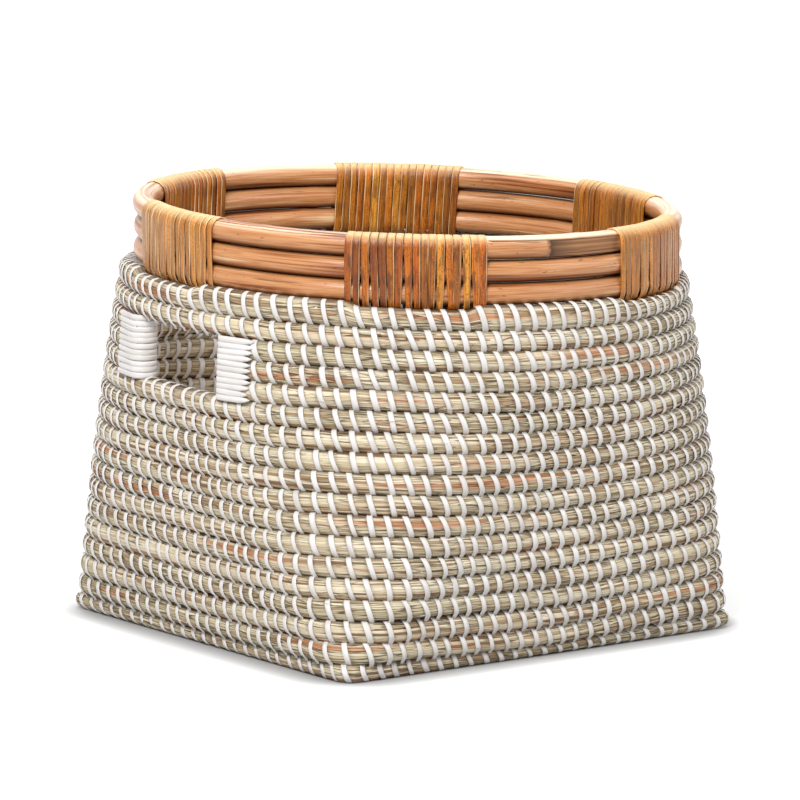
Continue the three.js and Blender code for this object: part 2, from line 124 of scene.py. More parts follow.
# Cane rim.
POLE_RADIUS = 7.75 * MM
POLE_PITCH = 15.8 * MM
POLE_RING = 184.7 * MM
LOWEST_POLE = WALL_TOP + 9.45 * MM
WRAP_COUNT = 6
WRAP_TURN = math.radians(-4.6)
WRAP_ANGLE = math.radians(29)
WRAP_LOOPS = 17
WRAP_THICKNESS = 1.0 * MM
WRAP_GAP = 0.4 * MM
WRAP_HANG = 3.2 * MM
LAP_END = math.radians(264)
LAP_ANGLE = math.radians(14)
OPEN_LAP = math.radians(20)
LAP_DEPTH = 4.1 * MM
LAP_SLANT = 0.35
LAP_GAP = 0.2 * MM

# Camera, fitted to the outline and the course lines of the photograph.
CAMERA_LENS = 294.5
CAMERA_FILM = 36
CAMERA_DISTANCE = 4.612
CAMERA_TARGET = 0.1559
CAMERA_AZIMUTH = math.radians(-36.15)
CAMERA_ELEVATION = math.radians(9.545)


# Scene helpers

def deselect():
    bpy.ops.object.select_all(action="DESELECT")


def turn_outward():
    """Turns the faces of the piece in hand outward and shades it smooth."""
    bpy.ops.object.mode_set(mode="EDIT")
    bpy.ops.mesh.select_all(action="SELECT")
    bpy.ops.mesh.normals_make_consistent(inside=False)
    bpy.ops.object.mode_set(mode="OBJECT")
    bpy.ops.object.shade_smooth()


def pairs(first, second):
    """Two values for every point, such as its place on a map."""
    return np.stack(np.broadcast_arrays(first, second), -1)


def finish_piece(piece, name, slot, nodes):
    piece.name = name
    piece.data.name = name
    piece.data.materials.append(MATERIALS[slot])
    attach(piece, "root")
    if nodes:
        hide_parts(*nodes)


# Outline of the wall

def girth_of(half_width, radius):
    return 8 * half_width - (8 - 2 * math.pi) * radius


def wall_outline(course):
    rise = np.clip((np.asarray(course, float) - 1) / (COURSES - 1), 0, None)
    radius = FOOT_CORNER_RADIUS + (RIM_RADIUS - FOOT_CORNER_RADIUS) * rise ** CORNER_POWER
    foot = girth_of(FOOT_HALF_WIDTH, FOOT_CORNER_RADIUS)
    rim = girth_of(RIM_RADIUS, RIM_RADIUS)
    girth = foot + (rim - foot) * rise ** GIRTH_POWER
    return (girth + (8 - 2 * math.pi) * radius) / 8, radius


def bundle_outline(course):
    """The outline through the middle of the bundles."""
    half_width, radius = wall_outline(course)
    return half_width - BUNDLE_WIDTH / 2, radius - BUNDLE_WIDTH / 2


def side_place(half_width, radius, side, along, bend):
    """A point of a side and its outward direction. Side 0 faces +Y, then counter-clockwise."""
    facing = (side + 1) * math.pi / 2
    out = half_width - radius + radius * np.cos(bend)
    point = np.stack([out * np.cos(facing) - along * np.sin(facing),
                      out * np.sin(facing) + along * np.cos(facing)], -1)
    outward = np.stack([np.cos(facing + bend), np.sin(facing + bend)], -1)
    return point, outward


def outline_place(half_width, radius, turn):
    """The point at a share of a turn by length, from the corner between +X and +Y."""
    turn = np.asarray(turn, float)
    quarters = (turn - np.floor(turn)) * 4
    side = np.minimum(3, np.floor(quarters))
    share = quarters - side
    flat = np.maximum(half_width - radius, 0)
    arc = radius * math.pi / 4
    length = share * (2 * flat + 2 * arc)
    first = length < arc
    last = length > arc + 2 * flat
    bend = np.where(first, (length - arc) / radius, 0)
    bend = np.where(last, (length - arc - 2 * flat) / radius, bend)
    straight = np.where(first, -flat, np.where(last, flat, length - arc - flat))
    return side_place(half_width, radius, side, straight + radius * np.sin(bend), bend)


def bend_at(half_width, radius, along):
    past = np.clip(np.abs(along) - (half_width - radius), 0, None)
    return np.sign(along) * np.arcsin(past / radius)


def turn_at(half_width, radius, side, along):
    bend = bend_at(half_width, radius, along)
    flat = half_width - radius
    arc = radius * math.pi / 4
    length = arc + flat + np.clip(along, -flat, flat) + bend * radius
    return (side + length / (2 * flat + 2 * arc)) / 4


def grown_share(value, low, high):
    """0 below the low value and 1 above the high one, with a smooth change between."""
    share = np.clip((value - low) / (high - low), 0, 1)
    return share * share * (3 - 2 * share)


def settled(points, set_off=0):
    """Where points of the regular basket lie on the settled one."""
    x, y, z = np.moveaxis(points, -1, 0)
    rise = np.clip((z - COURSE_PITCH) / (WALL_TOP - COURSE_PITCH), 0, 1)
    lean = LEAN_DROP * (x * math.cos(LEAN_ANGLE) + y * math.sin(LEAN_ANGLE)) / RIM_RADIUS
    angle = np.arctan2(y, x)
    flank = (1 + SINK_SHARE * np.cos(angle - SINK_ANGLE)) * np.cos(2 * angle) ** 2
    from_edge = FOOT_HALF_WIDTH - np.maximum(np.abs(x), np.abs(y))
    edge = grown_share(-from_edge, -2 * BASE_PITCH, -BASE_PITCH)
    sink = SINK * flank * edge * np.minimum(z / COURSE_PITCH, 1) * (1 - rise ** 3)
    drop = (lean + TOP_DROP) * rise - 4 * MIDDLE_LIFT * rise * (1 - rise) + sink
    away = set_off - FOOT_SET_OFF * (1 - rise)
    return np.stack([x + away * math.cos(SET_OFF_ANGLE), y + away * math.sin(SET_OFF_ANGLE),
                     z - drop], -1)


def wrapped_share(angle, spread=0):
    """1 where a wrap of the rim presses on the top course, 0 between the wraps."""
    step = 2 * math.pi / WRAP_COUNT
    inside = WRAP_ANGLE / 2 + spread - np.abs((angle - WRAP_TURN + step / 2) % step - step / 2)
    return grown_share(inside, math.radians(-1.5), math.radians(1.5))


def nested(points, clearance):
    """Points of the top course, pressed clear of the cane rim that stands inside it. Pieces
    further down have no clearance to keep."""
    if clearance is None:
        return points
    x, y, z = np.moveaxis(points, -1, 0)
    angle, radius = np.arctan2(y, x), np.hypot(x, y)
    pressed = wrapped_share(angle)
    ring = POLE_RING + RIM_SET_OFF * np.cos(angle - SET_OFF_ANGLE)
    low = LOWEST_POLE - WRAP_HANG * pressed
    reach = POLE_RADIUS + clearance + 1.4 * WRAP_THICKNESS * pressed
    out = radius - ring
    up = np.minimum(z - low, 0)
    push = np.maximum(reach / np.maximum(np.hypot(out, up), MM), 1)
    scale = (ring + out * push) / np.maximum(radius, MM)
    return np.stack([x * scale, y * scale, z + up * (push - 1)], -1)


# Routes of the bundles. A route gives, for each turn in a list, the middle of the bundle, its
# outward direction, and its width and height there.

def laid_span(turn, turns, pitch, thickness):
    whole = np.floor(turn)
    step = grown_share(turn - whole, 0, CLIMB_SHARE)
    level = (whole - 1 + step) * pitch
    top = (turns - 1) * pitch + thickness
    return np.maximum(0, level), np.minimum(level + thickness, top)


def coil_turns(turns, pitch, thickness, steps):
    turn = np.arange(0, int((turns + CLIMB_SHARE) * steps) + 1) / steps
    low, high = laid_span(turn, turns, pitch, thickness)
    return turn[high - low > TAIL_LEAST]


def course_middle(course):
    return BASE_TOP + (course - 1.5) * COURSE_PITCH


def course_at(height):
    return 1.5 + (height - BASE_TOP) / COURSE_PITCH


def wall_route(first_course, turns):
    has_crown = first_course + turns > COURSES

    def route(turn):
        low, high = laid_span(turn, turns, COURSE_PITCH, BUNDLE_HEIGHT)
        bottom = course_middle(first_course) - BUNDLE_HEIGHT / 2
        height = high - low
        middle = bottom + (low + high) / 2
        point, outward = outline_place(*bundle_outline(course_at(middle)), turn)
        fullness = height / BUNDLE_HEIGHT
        width = BUNDLE_WIDTH * (TAIL_WIDTH_SHARE + (1 - TAIL_WIDTH_SHARE) * fullness)
        if has_crown:
            pressed = wrapped_share(2 * math.pi * (turn + 1 / 8), math.radians(-2.5))
            crown_start = turns - 1 + CLIMB_SHARE
            swell = CROWN_SWELL * (1 - pressed) * grown_share(fullness, 0, 0.5)
            swell = swell * grown_share(turn, crown_start, crown_start + CROWN_GROWTH)
            height = height + swell
            middle = middle + swell / 2
        return np.column_stack([point, middle]), outward, width, height
    return route


def row_route(course):
    def route(turn):
        point, outward = outline_place(*bundle_outline(course), turn)
        middle, width, height = (np.full(len(turn), value) for value in (
            course_middle(course), BUNDLE_WIDTH, BUNDLE_HEIGHT))
        return np.column_stack([point, middle]), outward, width, height
    return route


def base_route(turn):
    core = FOOT_HALF_WIDTH - (BASE_TURNS - 1) * BASE_PITCH - BUNDLE_WIDTH
    low, high = laid_span(turn, BASE_TURNS, BASE_PITCH, BUNDLE_WIDTH)
    outer = outline_place(core + high, np.minimum(FOOT_CORNER_RADIUS, core + high), turn)[0]
    inner = outline_place(core + low, np.minimum(FOOT_CORNER_RADIUS, core + low), turn)[0]
    across = outer - inner
    width = np.linalg.norm(across, axis=1)
    height = np.full(len(turn), BASE_HEIGHT)
    middle = np.column_stack([(outer + inner) / 2, FLOOR_CLEARANCE + height / 2])
    return middle, across / width[:, None], width, height


def lengths_along(middle):
    steps = np.linalg.norm(np.diff(middle, axis=0), axis=1)
    return np.concatenate([[0], np.cumsum(steps)])


def beside(middle, outward, out, rise):
    """Points that lie so far out and so far up from the middle of a route."""
    level = middle[..., :2] + outward * out[..., None]
    return np.concatenate([level, (middle[..., 2] + rise)[..., None]], -1)


# Making bundles

def rounded(angle):
    """Section of a bundle: a circle pressed a little flat on its sides."""
    c, s = np.cos(angle), np.sin(angle)
    power = 2 / ROUNDNESS
    return np.sign(c) * np.abs(c) ** power, np.sign(s) * np.abs(s) ** power


def wander(length, spacing, count, amount):
    """Random values that drift along a length, one column for each strand."""
    knots = np.arange(-spacing, length[-1] + 2 * spacing, spacing)
    values = RNG.normal(0, amount, (count, len(knots)))
    return np.stack([np.interp(length, knots, row) for row in values], -1)


def rolled_tube(place, uv, marks):
    """A grid rolled into a tube along a route, with its seam joined and its ends closed. Two more
    values for each point, painted light and shade among them, go to a second map."""
    steps, around = place.shape[0] - 1, place.shape[1]
    deselect()
    bpy.ops.mesh.primitive_grid_add(x_subdivisions=steps, y_subdivisions=around, size=1)
    tube = bpy.context.object
    mesh = tube.data
    flat = np.empty(len(mesh.vertices) * 3)
    mesh.vertices.foreach_get("co", flat)
    flat = flat.reshape(-1, 3)
    i = np.rint((flat[:, 0] + 0.5) * steps).astype(int)
    j = np.rint((flat[:, 1] + 0.5) * around).astype(int)
    mesh.vertices.foreach_set("co", place[i, j % around].ravel())
    corners = np.empty(len(mesh.loops), int)
    mesh.loops.foreach_get("vertex_index", corners)
    mesh.uv_layers[0].data.foreach_set("uv", uv[i[corners], j[corners]].ravel())
    second = mesh.uv_layers.new(name="marks")
    second.data.foreach_set("uv", marks[i[corners], j[corners] % around].ravel())
    bpy.ops.object.mode_set(mode="EDIT")
    bpy.ops.mesh.select_all(action="SELECT")
    bpy.ops.mesh.remove_doubles(threshold=1e-6)
    bpy.ops.mesh.select_all(action="DESELECT")
    bpy.ops.mesh.select_non_manifold()
    bpy.ops.mesh.edge_face_add()
    turn_outward()
    return tube


def tube_faces(first, rings, size):
    """Faces of a tube that is closed at both ends, from the number of its first point."""
    last = first + (rings - 1) * size
    faces = [[at + k, at + (k + 1) % size, at + size + (k + 1) % size, at + size + k]
             for at in range(first, last, size) for k in range(size)]
    return faces + [list(range(end, end + size)) for end in (first, last)]


def pinched(route, turns, up, sewn):
    """1 under the middle of a stitch, 0 between stitches, for every point round a bundle."""
    step = lengths_along(route(turns)[0])
    at = np.interp(sewn, turns, step)
    crossing = step[:, None] + STITCH_LEAN * up / 2
    after = np.clip(np.searchsorted(at, crossing), 1, len(at) - 1)
    nearest = np.minimum(np.abs(crossing - at[after]), np.abs(crossing - at[after - 1]))
    return np.exp(-(nearest / (0.55 * STITCH_WIDTH)) ** 2)


def crevice_shade_share(name, turns, across, up):
    """Where painted shade darkens a bundle: 1 on the sides that lie against the next ones, 0 on
    its open sides.
    """
    against = np.abs(up)
    if name.startswith("base"):
        last = (turns > BASE_TURNS - 1 + CLIMB_SHARE)[:, None]
        against = np.where(last, np.where(up > 0, up, -across), np.abs(across))
    return grown_share(against, 0.72, 1.0)


def seagrass_bundle(name, route, turns, sewn, nodes, press=None):
    """A bundle of seagrass along a route, drawn in under its stitches."""
    middle, outward, width, height = route(turns)
    length = lengths_along(middle)
    across, up = rounded(-math.pi / 2 + 2 * math.pi * np.arange(STRANDS) / STRANDS)
    strand = wander(length, 26 * MM, STRANDS, 0.26 * MM) + wander(length, 150 * MM, 1, 0.12 * MM)
    tight = pinched(route, turns, up, sewn)
    proud = strand * (1 - 0.7 * tight) + PINCH * (0.35 - tight)
    fullness = height[:, None] / BUNDLE_HEIGHT
    out = across * (width[:, None] / 2 + proud)
    rise = up * (height[:, None] / 2 + 0.5 * proud * fullness)
    drift = wander(length, 80 * MM, 2, 0.25 * MM)
    place = beside(middle[:, None], outward[:, None], out + drift[:, :1], rise + drift[:, 1:])
    place[..., 2] = np.maximum(place[..., 2], FLOOR_CLEARANCE)
    girth = math.pi * (BUNDLE_WIDTH + BUNDLE_HEIGHT) / 2
    uv = pairs(length[:, None] + RNG.uniform(0, 5), np.arange(STRANDS + 1) / STRANDS * girth)
    # The second map takes the share of painted crevice shade and the share under a stitch.
    marks = pairs(crevice_shade_share(name, turns, across, up), tight)
    bundle = rolled_tube(settled(nested(place, press)), uv, marks)
    finish_piece(bundle, name, "seagrass", nodes)


def split_bundle(name, route, turns, sewn, node, parts, press=None):
    """A long bundle in lengths that meet end to end."""
    stops = np.linspace(0, len(turns) - 1, parts + 1).astype(int)
    for part in range(parts):
        piece_turns = turns[stops[part]:stops[part + 1] + 1]
        suffix = f"_{part + 1}" if parts > 1 else ""
        seagrass_bundle(name + suffix, route, piece_turns, sewn, [node], press)


def stray_blades(routes, name, count, lift, reach, widths, lengths):
    """Loose blades of seagrass that lie askew on the bundles, as thin three-sided tubes."""
    points, faces, uvs = [], [], []
    rings = 6
    share = np.linspace(0, 1, rings)
    girth = 2 * math.pi * RIM_RADIUS
    for index in range(count):
        route, first, last = routes[index % len(routes)]
        long = RNG.uniform(*lengths) * MM
        start = RNG.uniform(first, last - long / girth)
        turn = start + share * long / girth
        middle, outward, width, height = route(turn)
        angle = RNG.uniform(-1.15, 1.15) + RNG.normal(0, 0.12) * (share - 0.5) * long / (10 * MM)
        across, up = rounded(angle)
        away = lift * MM + reach * MM * RNG.uniform(0.2, 1) * share ** 3
        broad = RNG.uniform(*widths) * MM
        taper = np.sin(math.pi * np.clip(share * 0.9 + 0.05, 0, 1)) ** 0.5
        place = np.empty((rings, 3, 3))
        for k, (side, sunk) in enumerate(((-0.5, 0.1), (0.5, 0.1), (0.0, -0.25))):
            spread = side * broad * taper
            out = across * (width / 2 + away - sunk * MM) - spread * up
            rise = up * (height / 2 + away - sunk * MM) + spread * across
            place[:, k] = beside(middle, outward, out, rise)
        place[..., 2] = np.maximum(place[..., 2], FLOOR_CLEARANCE)
        faces += tube_faces(len(points) * rings * 3, rings, 3)
        points.append(place.reshape(-1, 3))
        along = RNG.uniform(0, 5) + share[:, None] * long
        around = RNG.uniform(0, 0.045) + np.array([0, 1, 0.5]) * broad
        uvs.append(pairs(along, around).reshape(-1, 2))
    finish_piece(mesh_of(points, faces, uvs), name, "seagrass", [])


# Making stitches

def stitch_path():
    """One stitch round a bundle, from its top down the outside: shares of the half width and
    half height, and how far it bites into the bundle below."""
    outside, inside = (88, 60, 34, 10, -14, -38, -60), (-122, -165, 152, 116)
    across, up = rounded(np.radians(outside + inside))
    sides = np.column_stack([across, up, 0.12 * (up < -0.8)])
    below = [(0.40, -1.0, 1.0), (0.0, -1.0, 0.7), (-0.40, -1.0, 1.0)]
    return np.vstack([sides[:len(outside)], below, sides[len(outside):]])


STITCH_SECTION = ((-0.5, 0.5), (-0.32, 0.95), (0.32, 0.95), (0.5, 0.5), (0.0, 0.0))


def stitch_master(rounds):
    """The faces of one closed band, with its place round the bundle and across the strip."""
    deselect()
    bpy.ops.mesh.primitive_torus_add(major_segments=rounds, minor_segments=len(STITCH_SECTION),
                                     major_radius=1, minor_radius=0.25)
    torus = bpy.context.object
    faces = np.array([face.vertices[:] for face in torus.data.polygons])
    bpy.data.objects.remove(torus)
    row, column = np.divmod(np.arange(rounds * len(STITCH_SECTION)), len(STITCH_SECTION))
    across, off = np.array(STITCH_SECTION).T
    return row, across[column], off[column], faces


def sew(name, jobs, bite=STITCH_BITE, press=None):
    """All the stitches over some bundles, as one mesh of separate bands."""
    path = stitch_path()
    row, across, off, faces = stitch_master(len(path))
    out_share, up_share, bite_share = path[row].T
    places, uvs, polygons = [], [], []
    gap = 1e-3
    for route, turns in jobs:
        count = len(turns)
        here, there = route(turns - gap / 2), route(turns + gap / 2)
        inside = np.linalg.norm(there[0] - here[0], axis=1) / gap
        edges = [beside(middle, outward, width / 2, 0)[:, :2]
                 for middle, outward, width, height in (here, there)]
        outside = np.linalg.norm(edges[1] - edges[0], axis=1) / gap
        per_turn = inside[:, None] + (outside - inside)[:, None] * out_share
        per_turn = np.maximum(per_turn, 0.5 * inside[:, None])
        shift = RNG.normal(0, 0.05, count) * STITCH_PITCH
        lean = STITCH_LEAN + RNG.normal(0, 0.7, count) * MM
        strip = STITCH_WIDTH * (1 + RNG.normal(0, 0.07, count))
        narrow = 1 - 0.28 * bite_share
        along = (shift[:, None] - lean[:, None] * (up_share + 0.2 * bite_share) / 2
                 + strip[:, None] * across * narrow)
        turn = (turns[:, None] + along / per_turn).ravel()
        middle, outward, width, height = route(turn)
        shape = (count, len(row))
        loose = 0.2 * MM + 0.15 * MM * RNG.uniform(0, 1, count)[:, None]
        lift = STITCH_THICKNESS * off + loose
        out = out_share * (width.reshape(shape) / 2 + lift)
        rise = up_share * (height.reshape(shape) / 2 + 0.5 * lift) - bite * bite_share
        point = beside(middle, outward, out.ravel(), rise.ravel())
        point[:, 2] = np.maximum(point[:, 2], np.tile(0.1 * MM + 0.3 * MM * off, count))
        tone = RNG.uniform(0, 40, count)[:, None]
        uvs.append(pairs(tone + row * 0.003, across * STITCH_WIDTH).reshape(-1, 2))
        first = sum(map(len, places)) + (np.arange(count) * len(row))[:, None, None]
        polygons += (faces + first).reshape(-1, 4).tolist()
        places.append(nested(point, press))
    finish_piece(mesh_of(places, polygons, uvs), name, "white_strip", [])


def mesh_of(places, faces, uvs):
    """One mesh of many small parts, from lists of their points and of their places on the map."""
    mesh = bpy.data.meshes.new("parts")
    mesh.from_pydata(settled(np.concatenate(places)).tolist(), [], faces)
    corners = np.empty(len(mesh.loops), int)
    mesh.loops.foreach_get("vertex_index", corners)
    uv = np.concatenate(uvs)[corners]
    mesh.uv_layers.new(name="UVMap").data.foreach_set("uv", uv.ravel())
    piece = bpy.data.objects.new("parts", mesh)
    bpy.context.collection.objects.link(piece)
    deselect()
    piece.select_set(True)
    bpy.context.view_layer.objects.active = piece
    turn_outward()
    return piece


# Making the hand slot bindings

BINDING_SECTION = ((-0.5, 0.25), (-0.4, 0.8), (-0.12, 1.0), (0.12, 1.0), (0.4, 0.8), (0.5, 0.25),
                   (0.0, -0.3))
BINDING_EDGE = 6 * MM
BINDING_GAP = 1.2 * MM
BINDING_OVERLAP = 1 * MM


def channel_path(reach):
    """The route of one strip round the row ends: along the outside, round the edge and back
    along the inside. Each point is the distance back from the slot edge and out from the
    middle."""
    out = BUNDLE_WIDTH / 2 + BINDING_GAP
    leaf = np.array([1, 0.9, 0.75, 0.55, 0.35, 0.15])
    back = BINDING_EDGE + (reach - BINDING_EDGE) * leaf
    turn = np.radians(np.arange(0, 181, 22.5))
    path = [(b, out) for b in back]
    path += [(BINDING_EDGE * (1 - math.sin(t)), out * math.cos(t)) for t in turn]
    path += [(b, -out) for b in back[::-1]]
    return np.array(path)


def bind_slot_edge(name, side, edge, away):
    bottom = course_middle(ROW_FIRST - 1) + BUNDLE_HEIGHT / 2 - BINDING_OVERLAP
    top = course_middle(UPPER_FIRST) - BUNDLE_HEIGHT / 2 + BINDING_OVERLAP
    pitch = (top - bottom) / BINDING_STRIPS
    size = len(BINDING_SECTION)
    points, uvs, faces = [], [], []
    for strip in range(BINDING_STRIPS):
        path = channel_path(BINDING_REACH + RNG.normal(0, 0.6) * MM)
        count = len(path)
        ends = np.minimum(np.arange(count), np.arange(count)[::-1])
        taper = np.interp(ends, [0, 1, 2], [0.15, 0.7, 1])
        press = np.interp(ends, [0, 1, 2], [1.5 * MM, 0.4 * MM, 0])
        tilt = RNG.normal(0, 0.25) * MM
        middle = bottom + pitch * (strip + 0.5)
        around = np.clip(1 - path[:, 0] / BINDING_EDGE, 0, 1)
        ring = np.empty((count, size, 3))
        for k, (across, off) in enumerate(BINDING_SECTION):
            askew = tilt * (path[:, 0] / BINDING_REACH - 0.5) * 2
            z = middle + across * pitch * 1.08 * taper + askew
            outline = bundle_outline(course_at(z))
            along = edge + away * (path[:, 0] - off * BINDING_THICKNESS * around)
            point, outward = side_place(*outline, side, along, bend_at(*outline, along))
            lift = (off * BINDING_THICKNESS - press) * np.sign(path[:, 1]) * (1 - around)
            ring[:, k] = np.column_stack([point + outward * (path[:, 1] + lift)[:, None], z])
        faces += tube_faces(len(points) * count * size, count, size)
        points.append(ring.reshape(-1, 3))
        across_uv = np.array(BINDING_SECTION)[:, 0] * pitch
        uvs.append(pairs(path[:, :1] + RNG.uniform(0, 40), across_uv).reshape(-1, 2))
    finish_piece(mesh_of(points, faces, uvs), name + "_strips", "white_strip", [name])


# Making the cane rim

def rim_points(out, up, angle):
    """Points of the rim by their distance from the ring of the poles, height and angle."""
    radius = POLE_RING + out
    return np.stack([radius * np.cos(angle), radius * np.sin(angle), up], -1)


def lapped(angle, out, up, lap_end, open_angle):
    """A pole's section with its two ends shaved to lie side by side, and which of its points
    lie on a cut."""
    face = POLE_RADIUS - LAP_DEPTH
    bottom = -math.sqrt(POLE_RADIUS ** 2 - face ** 2)
    steep = 1 + LAP_SLANT ** 2
    top = (math.sqrt(POLE_RADIUS ** 2 * steep - face ** 2) - face * LAP_SLANT) / steep
    cut = face + LAP_SLANT * np.maximum(up, 0)
    tongue = (angle < lap_end + open_angle)[:, None] & (out > cut)
    tip = (angle > lap_end - LAP_ANGLE + 2 * math.pi)[:, None] & (out < cut)
    out = np.where(tip, cut + LAP_GAP, np.where(tongue, cut, out))
    up = np.where(tip, np.clip(up, bottom, top), up)
    return out, up, tongue | tip | (angle > angle[-1] - 0.001)[:, None]


def cane_pole(name, height, lap_end, open_angle):
    """A bent pole, from the start of its lap once round to the lap's end."""
    around = 24
    start, end = lap_end - LAP_ANGLE, lap_end + 2 * math.pi
    steps = int((end - start) / (2 * math.pi) * 360)
    angle = np.linspace(start, end, steps + 1)
    length = (angle - start) * POLE_RING
    section = 2 * math.pi * (np.arange(around) + 0.5) / around - math.pi / 2
    level = np.sin(section)
    radius = POLE_RADIUS + 0.12 * MM + wander(length, 170 * MM, 1, 0.08 * MM)
    radius = radius + wander(length, 40 * MM, around, 0.04 * MM) + cane_nodes(length)
    out, up = np.cos(section) * radius, level * radius
    out, up, shaved = lapped(angle, out, up, lap_end, open_angle)
    out = out + wander(length, 190 * MM, 1, 0.35 * MM)
    up = up + wander(length, 190 * MM, 1, 0.15 * MM)
    place = rim_points(out, height + up, angle[:, None])
    girth = 2 * math.pi * POLE_RADIUS
    uv = pairs(length[:, None] + RNG.uniform(0, 5), np.arange(around + 1) / around * girth)
    stain = np.exp(-length / (LAP_ANGLE * POLE_RING + 9 * MM))[:, None]
    # Painted shade on the underside of each pole, and on the tops of the two lower poles where the
    # next one lies; negative values on the top pole's open top give a painted highlight.
    seam = grown_share(-level, 0.35, 0.95)
    if name == "rim_pole_upper":
        seam = seam - grown_share(level, 0.35, 0.85)
    else:
        seam = np.maximum(seam, grown_share(level, 0.8, 1.0))
    pole = rolled_tube(settled(place, RIM_SET_OFF), uv,
                       pairs(np.where(shaved, stain, seam), shaved))
    finish_piece(pole, name + "_cane", "cane_pole", [name])


def cane_nodes(length):
    """The low swellings where leaves grew, some way apart."""
    swelling = np.zeros((len(length), 1))
    at = RNG.uniform(0.02, 0.2)
    while at < length[-1]:
        swelling[:, 0] += 0.3 * MM * np.exp(-((length - at) / (4 * MM)) ** 2)
        at += RNG.uniform(0.19, 0.3)
    return swelling


def wrap_path(reach, count):
    """A loop round the stacked poles, by even steps of length, from its lowest point: out and
    up from the middle of its lower bend."""
    tall = 2 * POLE_PITCH + WRAP_HANG
    arc = math.pi * reach
    stops = np.cumsum([0, arc / 2, tall, arc, tall, arc / 2])
    along = np.arange(count) / count * stops[-1]
    bend = np.radians(np.interp(along, stops, [-90, 0, 0, 180, 180, 270]))
    lift = np.interp(along, stops, [0, 0, tall, tall, 0, 0])
    return reach * np.cos(bend), lift + reach * np.sin(bend)


WRAP_SECTION = ((-0.5, 0.45), (-0.45, 0.88), (-0.15, 1.0), (0.15, 1.0), (0.45, 0.88), (0.5, 0.45),
                (0.0, -0.1))


def cane_wrap(name, middle_angle, fresh):
    """One strip of cane peel, wound round the three poles."""
    per_loop = 28
    steps = WRAP_LOOPS * per_loop
    reach = POLE_RADIUS + WRAP_GAP
    out_in, up_in = wrap_path(reach, per_loop)
    out_off, up_off = wrap_path(reach + WRAP_THICKNESS, per_loop)
    i = np.arange(steps + 1)
    k = i % per_loop
    pitch = WRAP_ANGLE / WRAP_LOOPS
    loop_of = i / per_loop
    knots = np.arange(WRAP_LOOPS + 2)

    def each_loop(mean, spread):
        return np.interp(loop_of, knots, RNG.normal(mean, spread, WRAP_LOOPS + 2))

    shift = each_loop(0, 0.06)
    foot = np.clip(1 - up_in[k] / (1.6 * POLE_PITCH), 0, 1) ** 1.5
    outer = grown_share(out_in[k], -reach, reach)
    width = each_loop(0.96, 0.04) * pitch * (1 - 0.22 * foot * outer)
    fan = each_loop(0.2, 0.14) * pitch * (1 - up_in[k] / up_in.max()) * outer
    lift = each_loop(0, 0.1) * MM
    tip = each_loop(0, 0.22)
    sag = each_loop(0, 0.5) * MM
    climb = 0.6 * grown_share(loop_of % 1, 0.3, 1.0) + 0.4 * (loop_of % 1)
    angle = middle_angle - WRAP_ANGLE / 2 + pitch * (np.floor(loop_of) + climb + 0.5 + shift) + fan
    size = len(WRAP_SECTION)
    place = np.empty((steps + 1, size, 3))
    for column, (across, off) in enumerate(WRAP_SECTION):
        away = off + lift / WRAP_THICKNESS + tip * across
        out = out_in[k] + (out_off[k] - out_in[k]) * away
        up = up_in[k] + (up_off[k] - up_in[k]) * away
        up = LOWEST_POLE - WRAP_HANG + up + sag * foot
        place[:, column] = rim_points(out, up, angle + across * width)
    uv = pairs(loop_of[:, None] + round(RNG.uniform(0, 200)),
               [across for across, off in WRAP_SECTION + WRAP_SECTION[:1]])
    # The height on the loop, which places the painted highlight at its top bend, and how pale the
    # wrap is.
    marks = pairs((up_in[k] / up_in.max())[:, None], np.full(size, fresh))
    strip = rolled_tube(settled(place, RIM_SET_OFF), uv, marks)
    finish_piece(strip, name + "_strip", "cane_strip", [name])


# Materials

def factors(*shares):
    """Shares of red, green and blue, as a node takes them."""
    return *shares, 1.0


def linear(*colour):
    """A colour as seen on screen, in the renderer's linear values."""
    shares = [part / 255 for part in colour]
    return factors(*(share / 12.92 if share <= 0.04045 else ((share + 0.055) / 1.055) ** 2.4
                     for share in shares))


def grey(share):
    return factors(share, share, share)


